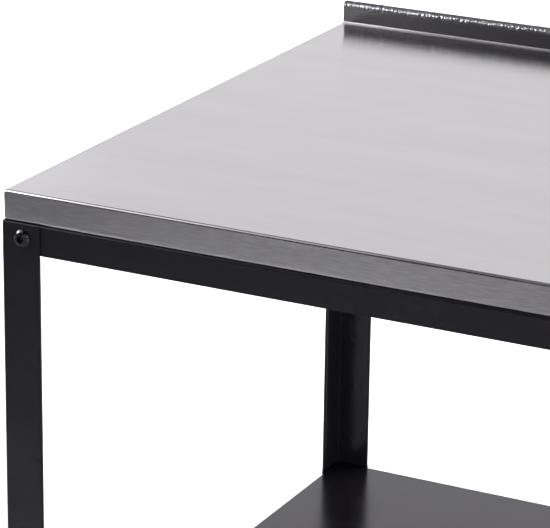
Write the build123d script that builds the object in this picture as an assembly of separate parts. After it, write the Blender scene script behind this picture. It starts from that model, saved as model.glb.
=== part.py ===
from build123d import *
import math
import os

# An outdoor kitchen island: a folded stainless worktop with a low rolled upstand along its rear edge,
# carried by a bolted frame of black angle legs and angle rails. One folded shelf sits inside the legs,
# and each leg ends in a screw-in levelling foot.
# Millimetres, +Z up, origin on the floor under the middle of the frame, front of the island towards -Y.

# Overall sizes, measured over the legs and to the worktop's face
frame_width = 860.0
frame_depth = 610.0
worktop_height = 890.0

# Worktop: one folded sheet with a rim just proud of the rails, a flange turned in under it, and a hollow upstand
worktop_sheet = 1.2
worktop_rim = 24.5
worktop_overhang = 0.2
worktop_bend_inside = 1.3
worktop_corner_inside = 0.7
worktop_return = 20.0
upstand_height = 20.0
upstand_thickness = 10.0
upstand_cove = 1.3

# Hat-section stiffeners under the worktop and the shelf
stiffener_sheet = 1.2
stiffener_crown = 40.0
stiffener_brim = 18.0
worktop_stiffener_depth = 16.0
worktop_stiffener_spread = 400.0
shelf_stiffener_depth = 14.0
stiffener_clearance = 2.0

# Legs: angle with the bend at the island's corner and a closed hem along each free edge
leg_flange = 34.0
leg_sheet = 1.5
leg_bend_inside = 1.0
hem_width = 6.5
hem_clearance = 1.0

# Rails: angle with one flange upright behind the legs and one flat under the worktop
rail_height = 24.6
rail_width = 25.0
rail_sheet = 2.0
rail_bend_inside = 1.0
rail_clearance = 0.5

# Shelf: folded tray, upside down, with a flange turned in under its skirt
shelf_height = 442.5
shelf_sheet = 1.2
shelf_skirt = 30.0
shelf_bend_inside = 2.8
shelf_return = 15.0

# Button-head bolts and low hex nuts, one pair through each leg flange at the rails and at the shelf
bolt_diameter = 8.0
bolt_head_diameter = 14.5
bolt_head_height = 3.4
bolt_head_rim = 0.9
bolt_dome_radius = 8.2
bolt_socket = 5.0
bolt_socket_depth = 2.8
bolt_inset = 18.5
bolt_tail = 1.25
nut_width = 13.0
nut_height = 4.0

# Worktop screws, driven up through the rails into round clinch nuts on the worktop's turned-in flange
screw_diameter = 6.0
screw_head_diameter = 10.5
screw_head_height = 3.3
screw_head_rim = 0.6
screw_dome_radius = 5.7
screw_socket = 4.0
screw_socket_depth = 2.0
screw_inset = 14.0
screw_spacing = 300.0
clinch_nut_diameter = 11.0
clinch_nut_height = 4.0

# Levelling feet: a round pad, a threaded stud with a hex collar, a welded plate and a weld nut
pad_diameter = 30.0
pad_boss_diameter = 19.0
pad_edge = 4.0
pad_height = 8.0
pad_floor = 2.0
pad_round = 1.0
stud_diameter = 8.0
stud_length = 36.0
collar_width = 13.0
collar_height = 5.0
collar_stop_gap = 0.5
foot_plate_sheet = 3.0
foot_plate_corner = 2.0
weld_nut_width = 14.0
weld_nut_height = 6.5

# Fits
hole_clearance = 0.3
thread_clearance = 0.05
seat_clearance = 0.2
end_chamfer = 0.6

# Levels and faces that follow from the sizes above
rail_top = worktop_height - worktop_rim
rail_bottom = rail_top - rail_height
shelf_bottom = shelf_height - shelf_skirt
collar_bottom = pad_height + seat_clearance
collar_top = collar_bottom + collar_height
leg_bottom = collar_top + collar_stop_gap
worktop_inset = leg_sheet - worktop_overhang
worktop_width = frame_width - 2 * worktop_inset
worktop_depth = frame_depth - 2 * worktop_inset
shelf_width = frame_width - 2 * leg_sheet
shelf_depth = frame_depth - 2 * leg_sheet
bolt_radius = bolt_diameter / 2
bolt_hole_radius = bolt_radius + hole_clearance
screw_radius = screw_diameter / 2
screw_hole_radius = screw_radius + hole_clearance
stud_radius = stud_diameter / 2
foot_plate_size = leg_flange - leg_sheet - hem_width - rail_clearance
foot_inset = leg_sheet + foot_plate_size / 2
rail_bolt_level = rail_top - rail_height / 2
shelf_bolt_level = shelf_height - shelf_skirt / 2


def polygon_face(points):
    """Flat face in the XY plane with straight sides through the points, in order."""
    return make_face(Polyline(*points, close=True))


def round_corner(section, x, y, radius):
    """The section with its corner at (x, y) rounded to the radius."""
    corner = section.vertices().sort_by_distance((x, y, 0))[0]
    return fillet(corner, radius)


def angle_section(flange_x, flange_y, sheet, bend_inside):
    """Bent L section: outer corner at the origin, one flange along +X and one along +Y."""
    points = [(0, 0), (flange_x, 0), (flange_x, sheet), (sheet, sheet), (sheet, flange_y), (0, flange_y)]
    section = Sketch() + polygon_face(points)
    section = round_corner(section, 0, 0, bend_inside + sheet)
    return round_corner(section, sheet, sheet, bend_inside)


def hat_section(depth):
    """Hat section below y = 0: two brims along the top, two webs and a crown at the bottom."""
    half_crown = stiffener_crown / 2
    half_brim = half_crown + stiffener_brim
    outside = [(-half_brim, 0), (half_brim, 0), (half_brim, -stiffener_sheet), (half_crown, -stiffener_sheet),
               (half_crown, -depth), (-half_crown, -depth), (-half_crown, -stiffener_sheet),
               (-half_brim, -stiffener_sheet)]
    channel_width = stiffener_crown - 2 * stiffener_sheet
    channel_depth = depth - stiffener_sheet
    channel = Pos(0, -channel_depth / 2) * Rectangle(channel_width, channel_depth)
    return Sketch() + polygon_face(outside) - channel


def hex_prism(width, height):
    """Hexagonal prism on the XY plane, its flats across X, the given width across the flats."""
    return extrude(Rot(0, 0, 30) * RegularPolygon(width / 2, 6, major_radius=False), height)


def tube(outer_radius, bore_radius, height):
    """Round ring standing on the XY plane."""
    return extrude(Circle(outer_radius) - Circle(bore_radius), height)


def upright_cylinder(radius, low, high):
    """Cylinder about the Z axis between two levels."""
    return Pos(0, 0, low) * extrude(Circle(radius), high - low)


def group(solids):
    """Several loose solids as one node."""
    return Compound(children=[piece.solid() for piece in solids])


def button_bolt(radius, length, head_radius, head_height, head_rim, dome_radius, socket, socket_depth):
    """Button-head bolt with a hex socket: head above the XY plane, shank down the -Z axis."""
    crown_radius = socket / math.sqrt(3) + head_rim
    side = Line((0, 0), (head_radius, 0))
    rim = Line((head_radius, 0), (head_radius, head_rim))
    dome = RadiusArc((head_radius, head_rim), (crown_radius, head_height), -dome_radius)
    crown = Line((crown_radius, head_height), (0, head_height))
    axis_side = Line((0, head_height), (0, 0))
    half_section = make_face([side, rim, dome, crown, axis_side])
    head = revolve(Plane.XZ * half_section, Axis.Z)
    recess = Pos(0, 0, head_height - socket_depth) * hex_prism(socket, socket_depth)
    shank = upright_cylinder(radius, -length, 0)
    shank = chamfer(shank.faces().sort_by(Axis.Z)[0].edges(), end_chamfer)
    return head + shank - recess


def nut(width, height, bore_radius):
    """Hex nut standing on the XY plane."""
    return hex_prism(width, height) - extrude(Circle(bore_radius), height)


# The four corners of the island, each with the turn that brings the front left corner to it
corners = {
    "front_left": Pos(-frame_width / 2, -frame_depth / 2) * Rot(0, 0, 0),
    "front_right": Pos(frame_width / 2, -frame_depth / 2) * Rot(0, 0, 90),
    "rear_right": Pos(frame_width / 2, frame_depth / 2) * Rot(0, 0, 180),
    "rear_left": Pos(-frame_width / 2, frame_depth / 2) * Rot(0, 0, 270),
}


def flange_bolt_places(level, depth):
    """Places of the two bolts of a corner, at the depth behind its outer faces.

    The local +Z of each place points out of the island, so a head stands on it and a shank goes in.
    """
    along_x = Location(Plane((bolt_inset, depth, level), x_dir=(1, 0, 0), z_dir=(0, -1, 0)))
    along_y = Location(Plane((depth, bolt_inset, level), x_dir=(0, 1, 0), z_dir=(-1, 0, 0)))
    return [along_x, along_y]


def worktop_solid(inset):
    """Rounded body of the worktop and upstand, with every face moved inwards by the inset.

    The section is drawn with X to the rear and Y up, and runs from the left end to the right end.
    """
    front = -worktop_depth / 2 + inset
    rear = worktop_depth / 2 - inset
    bottom = rail_top + inset
    top = worktop_height - inset
    upstand_front = worktop_depth / 2 - upstand_thickness + inset
    roll_radius = upstand_thickness / 2 - inset
    roll_level = worktop_height + upstand_height - upstand_thickness / 2
    bend_radius = worktop_bend_inside + worktop_sheet - inset
    points = [(front, bottom), (rear, bottom), (rear, roll_level), (upstand_front, roll_level),
              (upstand_front, top), (front, top)]
    section = Sketch() + polygon_face(points)
    section = round_corner(section, front, bottom, bend_radius)
    section = round_corner(section, rear, bottom, bend_radius)
    section = round_corner(section, front, top, bend_radius)
    section = round_corner(section, upstand_front, top, upstand_cove + inset)
    section = section + Pos(rear - roll_radius, roll_level) * Circle(roll_radius)
    length = worktop_width - 2 * inset
    left_end = Plane((-length / 2, 0, 0), x_dir=(0, 1, 0), z_dir=(1, 0, 0))
    body = Part() + extrude(left_end * section, length)
    ends = body.faces().sort_by(Axis.X)[0].edges() + body.faces().sort_by(Axis.X)[-1].edges()
    end_radius = min(worktop_corner_inside, worktop_bend_inside) + worktop_sheet - inset
    return fillet(ends, end_radius)


def worktop_screw_places():
    """Places of the worktop screws on the rails' top face: three along front and rear, one on each side."""
    reach_x = frame_width / 2 - leg_sheet - screw_inset
    reach_y = frame_depth / 2 - leg_sheet - screw_inset
    places = [Pos(x, y, rail_top) for y in (-reach_y, reach_y) for x in (-screw_spacing, 0, screw_spacing)]
    return places + [Pos(-reach_x, 0, rail_top), Pos(reach_x, 0, rail_top)]


def make_worktop():
    """Folded sheet shell, open below inside its turned-in flange, drilled for the screws."""
    shell = worktop_solid(0) - worktop_solid(worktop_sheet)
    mouth_width = worktop_width - 2 * worktop_return
    mouth_depth = worktop_depth - 2 * worktop_return
    shell = shell - Pos(0, 0, rail_top) * Box(mouth_width, mouth_depth, 3 * worktop_sheet)
    for place in worktop_screw_places():
        shell = shell - place * upright_cylinder(screw_hole_radius, -worktop_sheet, 2 * worktop_sheet)
    return shell


def make_worktop_stiffener(x):
    """Hat section bonded under the worktop, from front to rear between the turned-in flanges."""
    length = worktop_depth - 2 * (worktop_return + stiffener_clearance)
    start = Plane((x, length / 2, worktop_height - worktop_sheet), x_dir=(1, 0, 0), z_dir=(0, -1, 0))
    return extrude(start * hat_section(worktop_stiffener_depth), length)


def make_leg():
    """Leg of the front left corner, hemmed except where a rail or the shelf sits in the angle."""
    plain = angle_section(leg_flange, leg_flange, leg_sheet, leg_bend_inside)
    core = leg_flange - leg_sheet
    hemmed = angle_section(core, core, leg_sheet, leg_bend_inside)
    strip = hem_width - leg_sheet
    middle = core - strip / 2
    hemmed = hemmed + Pos(middle, leg_sheet * 1.5) * Rectangle(strip, leg_sheet)
    hemmed = hemmed + Pos(leg_sheet * 1.5, middle) * Rectangle(leg_sheet, strip)
    hemmed = hemmed + Pos(core, leg_sheet) * Circle(leg_sheet) + Pos(leg_sheet, core) * Circle(leg_sheet)
    seat_low = shelf_bottom - hem_clearance
    seat_high = shelf_height + hem_clearance
    rail_seat = rail_bottom - hem_clearance
    spans = [(hemmed, leg_bottom, seat_low), (plain, seat_low, seat_high),
             (hemmed, seat_high, rail_seat), (plain, rail_seat, rail_top)]
    leg = Part()
    for section, low, high in spans:
        leg = leg + Pos(0, 0, low) * extrude(section, high - low)
    for level in (rail_bolt_level, shelf_bolt_level):
        for place in flange_bolt_places(level, 0):
            leg = leg - place * upright_cylinder(bolt_hole_radius, -2 * leg_sheet, leg_sheet)
    return leg


def make_rail(span, reach, end_gap, flange_gap):
    """Rail along the front of a frame of the given span and reach, drilled for the leg bolts.

    The upright flange stops at the end gap from the frame's ends, and the flat flange at the flange gap.
    """
    length = span - 2 * end_gap
    face = -reach / 2 + leg_sheet
    section = angle_section(rail_width, rail_height, rail_sheet, rail_bend_inside)
    start = Plane((length / 2, face, rail_top), x_dir=(0, 1, 0), z_dir=(-1, 0, 0))
    rail = Part() + extrude(start * section, length)
    cut_length = flange_gap - end_gap
    cut_width = rail_width - rail_sheet
    if cut_length > 0:
        cut_middle = span / 2 - end_gap - cut_length / 2
        for side in (-1, 1):
            cut = Box(cut_length, cut_width, 2 * (rail_sheet + rail_bend_inside))
            rail = rail - Pos(side * cut_middle, face + rail_sheet + cut_width / 2, rail_top) * cut
    for side in (-1, 1):
        hole = Location(Plane((side * (span / 2 - bolt_inset), face, rail_bolt_level), z_dir=(0, -1, 0)))
        rail = rail - hole * upright_cylinder(bolt_hole_radius, -2 * rail_sheet, rail_sheet)
    return rail


def drill_for_screws(rail):
    """The rail with a hole wherever a worktop screw passes its flat flange."""
    for place in worktop_screw_places():
        rail = rail - place * upright_cylinder(screw_hole_radius, -2 * rail_sheet, rail_sheet)
    return rail


def make_shelf():
    """Folded tray open below, drilled through its skirt for the leg bolts."""
    bend = shelf_bend_inside + shelf_sheet
    middle = Pos(0, 0, shelf_height - shelf_skirt / 2)
    outside = Part() + middle * Box(shelf_width, shelf_depth, shelf_skirt)
    outside = fillet(outside.edges(), bend)
    hollow_width = shelf_width - 2 * shelf_sheet
    hollow_depth = shelf_depth - 2 * shelf_sheet
    hollow = Part() + middle * Box(hollow_width, hollow_depth, shelf_skirt - 2 * shelf_sheet)
    hollow = fillet(hollow.edges(), shelf_bend_inside)
    mouth_width = shelf_width - 2 * shelf_return
    mouth_depth = shelf_depth - 2 * shelf_return
    mouth = Pos(0, 0, shelf_bottom) * Box(mouth_width, mouth_depth, 3 * shelf_sheet)
    shelf = outside - hollow - mouth
    for corner in corners.values():
        for place in flange_bolt_places(shelf_bolt_level, leg_sheet):
            shelf = shelf - corner * place * upright_cylinder(bolt_hole_radius, -2 * shelf_sheet, shelf_sheet)
    return shelf


def make_shelf_stiffener():
    """Hat section bonded under the shelf along its middle, from side to side."""
    length = shelf_width - 2 * (shelf_sheet + shelf_bend_inside + stiffener_clearance)
    start = Plane((-length / 2, 0, shelf_height - shelf_sheet), x_dir=(0, 1, 0), z_dir=(1, 0, 0))
    return extrude(start * hat_section(shelf_stiffener_depth), length)


def make_flange_bolts(level, grip):
    """Bolts through all leg flanges at one level, long enough for the grip, the nut and a short tail."""
    length = grip + nut_height + bolt_tail
    bolt = button_bolt(bolt_radius, length, bolt_head_diameter / 2, bolt_head_height, bolt_head_rim,
                       bolt_dome_radius, bolt_socket, bolt_socket_depth)
    return group([corner * place * bolt for corner in corners.values()
                  for place in flange_bolt_places(level, 0)])


def make_flange_nuts(level, grip):
    """Nuts on the inner face of what the bolts hold, at one level of all leg flanges."""
    hex_nut = nut(nut_width, nut_height, bolt_radius + thread_clearance)
    seated = Pos(0, 0, -nut_height) * hex_nut
    return group([corner * place * seated for corner in corners.values()
                  for place in flange_bolt_places(level, grip)])


def make_worktop_screws():
    """Button-head screws with their heads under the rails."""
    length = rail_sheet + worktop_sheet + clinch_nut_height + end_chamfer
    screw = button_bolt(screw_radius, length, screw_head_diameter / 2, screw_head_height, screw_head_rim,
                        screw_dome_radius, screw_socket, screw_socket_depth)
    upwards = Pos(0, 0, -rail_sheet) * Rot(180, 0, 0)
    return group([place * upwards * screw for place in worktop_screw_places()])


def make_clinch_nuts():
    """Round nuts pressed on to the upper face of the worktop's turned-in flange."""
    ring = tube(clinch_nut_diameter / 2, screw_radius + thread_clearance, clinch_nut_height)
    return group([place * Pos(0, 0, worktop_sheet) * ring for place in worktop_screw_places()])


def make_foot_plate():
    """Square plate across the foot of the front left leg, its inner corner cut clear of the leg's bend."""
    near = leg_sheet
    far = leg_sheet + foot_plate_size
    cut = near + foot_plate_corner
    outline = polygon_face([(cut, near), (far, near), (far, far), (near, far), (near, cut)])
    hole = Pos(foot_inset, foot_inset) * Circle(stud_radius + hole_clearance)
    return Pos(0, 0, leg_bottom) * extrude(Sketch() + outline - hole, foot_plate_sheet)


def make_weld_nuts():
    """Hex nuts welded on top of the foot plates."""
    weld_nut = nut(weld_nut_width, weld_nut_height, stud_radius + thread_clearance)
    seat = Pos(foot_inset, foot_inset, leg_bottom + foot_plate_sheet)
    return group([corner * seat * weld_nut for corner in corners.values()])


def make_foot_pad():
    """Round pad of the front left foot: flat disc, sloping shoulder, boss and a blind socket for the stud."""
    radius = pad_diameter / 2
    points = [(0, 0), (radius, 0), (radius, pad_edge), (pad_boss_diameter / 2, pad_height), (0, pad_height)]
    half_section = Sketch() + polygon_face(points)
    half_section = round_corner(half_section, radius, 0, pad_round)
    half_section = round_corner(half_section, radius, pad_edge, pad_round)
    half_section = round_corner(half_section, pad_boss_diameter / 2, pad_height, pad_round)
    pad = revolve(Plane.XZ * half_section, Axis.Z)
    pad = pad - upright_cylinder(stud_radius + thread_clearance, pad_floor, pad_height)
    return Pos(foot_inset, foot_inset) * pad


def make_foot_stud():
    """Threaded stud of the front left foot: a spigot in the pad, a hex collar above it and a long thread."""
    stud = upright_cylinder(stud_radius, pad_floor + seat_clearance, collar_top + stud_length)
    ends = stud.faces().sort_by(Axis.Z)
    stud = chamfer(ends[0].edges() + ends[-1].edges(), end_chamfer)
    stud = stud + Pos(0, 0, collar_bottom) * hex_prism(collar_width, collar_height)
    return Pos(foot_inset, foot_inset) * stud


# Front and rear rails stop short of the side rails, which run past them into the legs' bends
long_rail_gap = leg_sheet + rail_sheet + rail_clearance
side_rail_gap = leg_sheet + leg_bend_inside + rail_clearance
side_flange_gap = leg_sheet + rail_width + rail_clearance
long_rail = make_rail(frame_width, frame_depth, long_rail_gap, long_rail_gap)
side_rail = make_rail(frame_depth, frame_width, side_rail_gap, side_flange_gap)

nodes = {
    "worktop": make_worktop(),
    "worktop_stiffener_left": make_worktop_stiffener(-worktop_stiffener_spread / 2),
    "worktop_stiffener_right": make_worktop_stiffener(worktop_stiffener_spread / 2),
    "front_rail": drill_for_screws(long_rail),
    "rear_rail": drill_for_screws(Rot(0, 0, 180) * long_rail),
    "left_rail": drill_for_screws(Rot(0, 0, -90) * side_rail),
    "right_rail": drill_for_screws(Rot(0, 0, 90) * side_rail),
    "shelf": make_shelf(),
    "shelf_stiffener": make_shelf_stiffener(),
    "frame_bolts": make_flange_bolts(rail_bolt_level, leg_sheet + rail_sheet),
    "frame_nuts": make_flange_nuts(rail_bolt_level, leg_sheet + rail_sheet),
    "shelf_bolts": make_flange_bolts(shelf_bolt_level, leg_sheet + shelf_sheet),
    "shelf_nuts": make_flange_nuts(shelf_bolt_level, leg_sheet + shelf_sheet),
    "worktop_screws": make_worktop_screws(),
    "worktop_clinch_nuts": make_clinch_nuts(),
    "foot_weld_nuts": make_weld_nuts(),
}

corner_pieces = {
    "leg": make_leg(),
    "foot_plate": make_foot_plate(),
    "foot_pad": make_foot_pad(),
    "foot_stud": make_foot_stud(),
}
for corner_name, corner in corners.items():
    for piece_name, piece in corner_pieces.items():
        nodes[f"{piece_name}_{corner_name}"] = corner * piece

os.makedirs("parts", exist_ok=True)
for node_name, shape in nodes.items():
    export_step(shape, f"parts/{node_name}.step")
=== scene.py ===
import math

import bmesh
import bpy
import numpy as np
from mathutils import Matrix


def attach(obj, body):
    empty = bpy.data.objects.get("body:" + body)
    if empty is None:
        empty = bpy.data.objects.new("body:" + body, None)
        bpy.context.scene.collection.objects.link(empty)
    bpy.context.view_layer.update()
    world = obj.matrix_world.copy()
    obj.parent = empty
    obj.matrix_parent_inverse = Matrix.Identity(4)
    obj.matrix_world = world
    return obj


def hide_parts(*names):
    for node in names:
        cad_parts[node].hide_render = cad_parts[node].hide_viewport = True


# An outdoor kitchen island: brushed stainless worktop with a rolled upstand, black bolted angle frame,
# one folded shelf and four screw-in feet. Shapes are worked out in millimetres and stored in metres.
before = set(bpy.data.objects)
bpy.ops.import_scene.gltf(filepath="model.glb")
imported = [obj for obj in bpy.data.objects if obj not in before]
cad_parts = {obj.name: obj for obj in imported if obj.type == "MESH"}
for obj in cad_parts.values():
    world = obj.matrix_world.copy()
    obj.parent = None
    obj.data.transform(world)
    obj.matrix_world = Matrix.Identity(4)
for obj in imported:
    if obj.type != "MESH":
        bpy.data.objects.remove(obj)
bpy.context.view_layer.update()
MILLIMETRE = 0.001

# Sizes of the island, over the legs and to the worktop's face
frame_width = 860.0
frame_depth = 610.0
worktop_height = 890.0

# Folded worktop
worktop_sheet = 1.2
worktop_rim = 24.5
worktop_inset = 1.3
worktop_bend = 2.5
worktop_end_round = 1.9
worktop_return = 20.0
upstand_height = 20.0
upstand_thickness = 10.0
upstand_cove = 1.3

# Hat-section stiffeners
stiffener_sheet = 1.2
stiffener_bend_inside = 1.2
stiffener_crown = 40.0
stiffener_brim = 18.0
worktop_stiffener_depth = 16.0
worktop_stiffener_spread = 400.0
shelf_stiffener_depth = 14.0
stiffener_clearance = 2.0

# Angle legs with hemmed free edges
leg_flange = 34.0
leg_sheet = 1.5
leg_bend_inside = 1.0
hem_width = 6.5
hem_clearance = 1.0
hem_slit = 0.4
hem_slit_depth = 2.0
sheared_edge = 0.3
leg_bottom = 13.7
leg_top_round = 1.0

# Angle rails
rail_height = 24.6
rail_width = 25.0
rail_sheet = 2.0
rail_bend_inside = 1.0
rail_clearance = 0.5

# Folded shelf
shelf_height = 442.5
shelf_sheet = 1.2
shelf_skirt = 30.0
shelf_bend = 4.0
shelf_return = 15.0

# Button-head bolts, screws and nuts
bolt_radius = 4.0
bolt_head_radius = 7.25
bolt_head_height = 3.4
bolt_head_rim = 0.9
bolt_dome_radius = 8.2
bolt_socket = 5.0
bolt_socket_depth = 2.8
bolt_inset = 18.5
bolt_tail = 1.25
bolt_pitch = 1.25
bolt_turn = 37
nut_width = 13.0
nut_height = 4.0
screw_radius = 3.0
screw_head_radius = 5.25
screw_head_height = 3.3
screw_head_rim = 0.6
screw_dome_radius = 5.7
screw_socket = 4.0
screw_socket_depth = 2.0
screw_pitch = 1.0
screw_tail = 0.6
screw_turn = 23
screw_inset = 14.0
screw_spacing = 300.0
clinch_nut_radius = 5.5
clinch_nut_height = 4.0
clinch_countersink = 0.3
clinch_edge = 0.4
thread_clearance = 0.05
thread_depth_share = 0.61
threaded_pitches = 3
shank_end = 0.3
head_underside = 0.15
socket_tip_share = 0.35
socket_tip_depth = 0.25
socket_floor_share = 0.97
socket_floor_round = 0.2
socket_mouth_depth = 0.25
socket_mouth_width = 0.2
hex_face_share = 0.98
hex_cut_angle = 30
nut_countersink = 0.4

# Levelling feet
foot_inset = 14.25
pad_radius = 15.0
pad_boss_radius = 9.5
pad_edge = 4.0
pad_height = 8.0
pad_floor = 2.0
pad_round = 1.0
pad_sole_edge = 0.4
pad_mouth = 0.3
stud_radius = 4.0
stud_bottom = 2.2
stud_top = 49.2
stud_chamfer = 0.6
stud_tip = 0.5
stud_tip_depth = 0.76
collar_bottom = 8.2
collar_height = 5.0
collar_width = 13.0
plate_top = 16.7
weld_nut_width = 14.0
weld_nut_height = 6.5

# Levels and faces that follow from the sizes above
rail_top = worktop_height - worktop_rim
rail_bottom = rail_top - rail_height
rail_bolt_level = rail_top - rail_height / 2
shelf_bottom = shelf_height - shelf_skirt
shelf_bolt_level = shelf_height - shelf_skirt / 2
worktop_half_width = frame_width / 2 - worktop_inset
worktop_half_depth = frame_depth / 2 - worktop_inset
shelf_half_width = frame_width / 2 - leg_sheet
shelf_half_depth = frame_depth / 2 - leg_sheet

# How new meshes are closed and shaded
merge_distance = 0.002
crease_angle = 40
flat_weight = 80

# Each corner's place and its turn about the vertical, from the front left corner's own frame
corners = {
    "front_left": (-frame_width / 2, -frame_depth / 2, 0),
    "front_right": (frame_width / 2, -frame_depth / 2, 90),
    "rear_right": (frame_width / 2, frame_depth / 2, 180),
    "rear_left": (-frame_width / 2, frame_depth / 2, 270),
}


def linear_colour(hex_colour):
    """Linear RGBA of an sRGB colour such as '#C0FFEE', by the sRGB curve."""
    srgb = np.array([int(hex_colour[i:i + 2], 16) for i in (1, 3, 5)]) / 255
    linear = np.where(srgb <= 0.04045, srgb / 12.92, ((srgb + 0.055) / 1.055) ** 2.4)
    return (*linear.tolist(), 1.0)


# Shapes: rings of points, joined one to the next


def arc(centre, radius, start, end, steps=8):
    """Points of a circle's arc about the centre, at equal angles in degrees from start to end."""
    angle = np.radians(np.linspace(start, end, steps + 1))
    return np.asarray(centre) + radius * np.stack([np.cos(angle), np.sin(angle)], axis=1)


def loft(rings, keep=None, ends=True, round_trip=False):
    """Surface through a row of closed rings with equal numbers of points.

    Point i of a ring is joined to point i of the next ring and to point i + 1 of its own, so each gap
    between rings is a band of quads. Keep leaves out quads where it is false. The first and last ring are
    filled with one flat face each, or the last ring is joined to the first for a round trip.
    """
    count, size = rings.shape[:2]
    bands = count if round_trip else count - 1
    here = np.arange(bands)[:, None] * size
    there = (np.arange(bands)[:, None] + 1) % count * size
    point = np.arange(size)[None, :]
    after = (point + 1) % size
    quads = np.stack([here + point, here + after, there + after, there + point], axis=-1)
    quads = quads.reshape(-1, 4) if keep is None else quads[keep]
    faces = quads.tolist()
    if ends and not round_trip:
        faces.append(list(range(size - 1, -1, -1)))
        faces.append(list(range((count - 1) * size, count * size)))
    return rings.reshape(-1, 3), faces


def join(shapes):
    """Several shapes as one: points in a row, and each shape's faces counted on from those before."""
    starts = np.cumsum([0] + [len(points) for points, faces in shapes])
    joined = [[int(start) + corner for corner in face]
              for start, (points, faces) in zip(starts, shapes) for face in faces]
    return np.concatenate([points for points, faces in shapes]), joined


def turned(points, turn):
    """Points turned about the vertical axis by an angle in degrees."""
    cosine, sine = math.cos(math.radians(turn)), math.sin(math.radians(turn))
    return points @ np.array([[cosine, sine, 0], [-sine, cosine, 0], [0, 0, 1]])


def at_corner(shape, corner):
    """A shape drawn at the front left corner, with that corner at the origin, moved to another corner."""
    x, y, turn = corners[corner]
    points, faces = shape
    return turned(points, turn) + np.array([x, y, 0]), faces


def add_piece(name, shape, body, nodes, material, sheet_map=None):
    """New object from a shape in millimetres. It rides on the body, takes the slot and stands for the nodes.

    Coinciding points are merged and faces turned outwards. Bends shade smoothly, folds sharper than 40
    degrees stay crisp, and normals lean towards the larger face, so flats stay flat beside their bends.
    """
    points, faces = shape
    mesh = bpy.data.meshes.new(name)
    mesh.from_pydata(points * MILLIMETRE, [], faces)
    if sheet_map is not None:
        layer = mesh.uv_layers.new(name="sheet")
        layer.data.foreach_set("uv", sheet_map(mesh).astype(np.float32).ravel())
    work = bmesh.new()
    work.from_mesh(mesh)
    bmesh.ops.remove_doubles(work, verts=work.verts, dist=merge_distance * MILLIMETRE)
    bmesh.ops.recalc_face_normals(work, faces=work.faces)
    work.to_mesh(mesh)
    work.free()
    mesh.shade_smooth()
    mesh.set_sharp_from_angle(angle=math.radians(crease_angle))
    mesh.materials.append(material)
    piece = bpy.data.objects.new(name, mesh)
    bpy.context.scene.collection.objects.link(piece)
    weighting = piece.modifiers.new("flats", "WEIGHTED_NORMAL")
    weighting.weight = flat_weight
    weighting.keep_sharp = True
    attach(piece, body)
    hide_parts(*nodes)


# Sheet-metal shapes


def worktop_section(inset):
    """Section of the worktop, (y, z) points round its outside, moved inwards by the inset.

    Straight runs between arcs whose centres stay put: front bottom bend, front top bend, cove at the foot of
    the upstand, half-round top of the upstand, rear bottom bend. The inset shrinks the outward arcs and
    widens the cove. The first and last point are the lips of the mouth below.
    """
    front, rear = -worktop_half_depth, worktop_half_depth
    near, far = front + worktop_bend, rear - worktop_bend
    low, high = rail_top + worktop_bend, worktop_height - worktop_bend
    roll_radius = upstand_thickness / 2
    cove_centre = (rear - upstand_thickness - upstand_cove, worktop_height + upstand_cove)
    roll_centre = (rear - roll_radius, worktop_height + upstand_height - roll_radius)
    lip = worktop_half_depth - worktop_return
    return np.concatenate([
        [(-lip, rail_top + inset)],
        arc((near, low), worktop_bend - inset, 270, 180),
        arc((near, high), worktop_bend - inset, 180, 90, 12),
        arc(cove_centre, upstand_cove + inset, 270, 360, 12),
        arc(roll_centre, roll_radius - inset, 180, 0, 32),
        arc((far, low), worktop_bend - inset, 0, -90),
        [(lip, rail_top + inset)],
    ])


def worktop_skin(inset):
    """One skin of the worktop: its section carried along X, drawn in to a quarter circle at both ends.

    The quads across the mouth, between the lips of section and length, are left out.
    """
    angle = np.radians(np.linspace(0, 90, 7))
    end_round = worktop_end_round - inset
    end_x = worktop_half_width - inset - end_round * (1 - np.cos(angle))
    end_inset = inset + end_round * (1 - np.sin(angle))
    lip = worktop_half_width - worktop_return
    station_x = np.concatenate([-end_x, [-lip, lip], end_x[::-1]])
    station_inset = np.concatenate([end_inset, [inset, inset], end_inset[::-1]])
    rings = [np.insert(worktop_section(e), 0, x, axis=1) for x, e in zip(station_x, station_inset)]
    rings = np.array(rings)
    keep = np.ones((len(rings) - 1, rings.shape[1]), bool)
    keep[len(angle), -1] = False
    return loft(rings, keep)


def worktop_shape():
    """Outer skin, inner skin one sheet further in, and the cut edge of the mouth between them."""
    x, y = worktop_half_width - worktop_return, worktop_half_depth - worktop_return
    mouth = np.array([[-x, -y], [x, -y], [x, y], [-x, y]])
    lips = np.array([np.insert(mouth, 2, rail_top + rise, axis=1) for rise in (0, worktop_sheet)])
    return join([worktop_skin(0), worktop_skin(worktop_sheet), loft(lips, ends=False)])


def worktop_sheet_map(mesh):
    """Flat pattern of the folded worktop in metres: U along X, which is the grain, V along the section.

    V is the distance walked round the section up to each point. On the two end faces, where the sheet folds
    down, U is the height and V the depth.
    """
    section = worktop_section(0)
    walked = np.concatenate([[0], np.cumsum(np.linalg.norm(np.diff(section, axis=0), axis=1))])
    place = np.zeros(len(mesh.vertices) * 3, np.float32)
    mesh.vertices.foreach_get("co", place)
    place = place.reshape(-1, 3)
    corner = np.zeros(len(mesh.loops), np.int32)
    mesh.loops.foreach_get("vertex_index", corner)
    sides = np.zeros(len(mesh.polygons), np.int32)
    mesh.polygons.foreach_get("loop_total", sides)
    end_face = np.repeat(sides > 4, sides)
    run = walked[corner % len(section)] * MILLIMETRE
    along = np.where(end_face, place[corner, 2], place[corner, 0])
    across = np.where(end_face, place[corner, 1], run)
    return np.stack([along, across], axis=1)


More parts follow.
